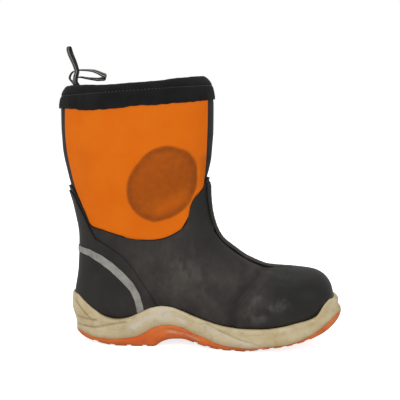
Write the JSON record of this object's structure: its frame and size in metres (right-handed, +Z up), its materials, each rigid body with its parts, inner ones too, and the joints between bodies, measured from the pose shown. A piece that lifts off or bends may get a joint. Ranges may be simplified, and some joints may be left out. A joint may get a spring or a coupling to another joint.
{
  "type": "rubber boot",
  "caption": "Mid-height rubber work boot for the right foot: lugged sole, cream foxing, rubber shoe, soft shaft with coloured panels and pull loops.",
  "frame": {"origin": "middle of the boot's box at the floor it stands on", "axes": "+X to the toe, -Y to the outer side of the foot, +Z up the shaft"},
  "size_m": [0.3199, 0.109, 0.3323],
  "materials": {
    "orange_rubber": "matt, moulded lugs, dusty",
    "cream_rubber": "satin, moulded ribs",
    "black_rubber": "satin, dusty",
    "grey_foam": "matt cloth over foam",
    "black_neoprene": "knitted face over neoprene",
    "orange_fabric_lateral": "matt knit",
    "orange_fabric_medial": "matt knit",
    "counter_rubber": "satin",
    "reflective_tape": "retroreflective tape",
    "ridge_rubber": "satin",
    "binding_fabric": "matt fleece-like knit",
    "webbing_tall": "woven webbing",
    "webbing_slack": "woven webbing"
  },
  "bodies": {
    "root": {"outsole": "orange_rubber", "midsole": "cream_rubber", "upper": "black_rubber", "insole": "grey_foam", "shaft": "black_neoprene", "side_panel_lateral": "orange_fabric_lateral", "side_panel_medial": "orange_fabric_medial", "heel_counter": "counter_rubber", "heel_stripe": "reflective_tape", "instep_ridge": "ridge_rubber", "top_binding": "binding_fabric", "pull_loop_tall": "webbing_tall", "pull_loop_slack": "webbing_slack"}
  },
  "joints": []
}
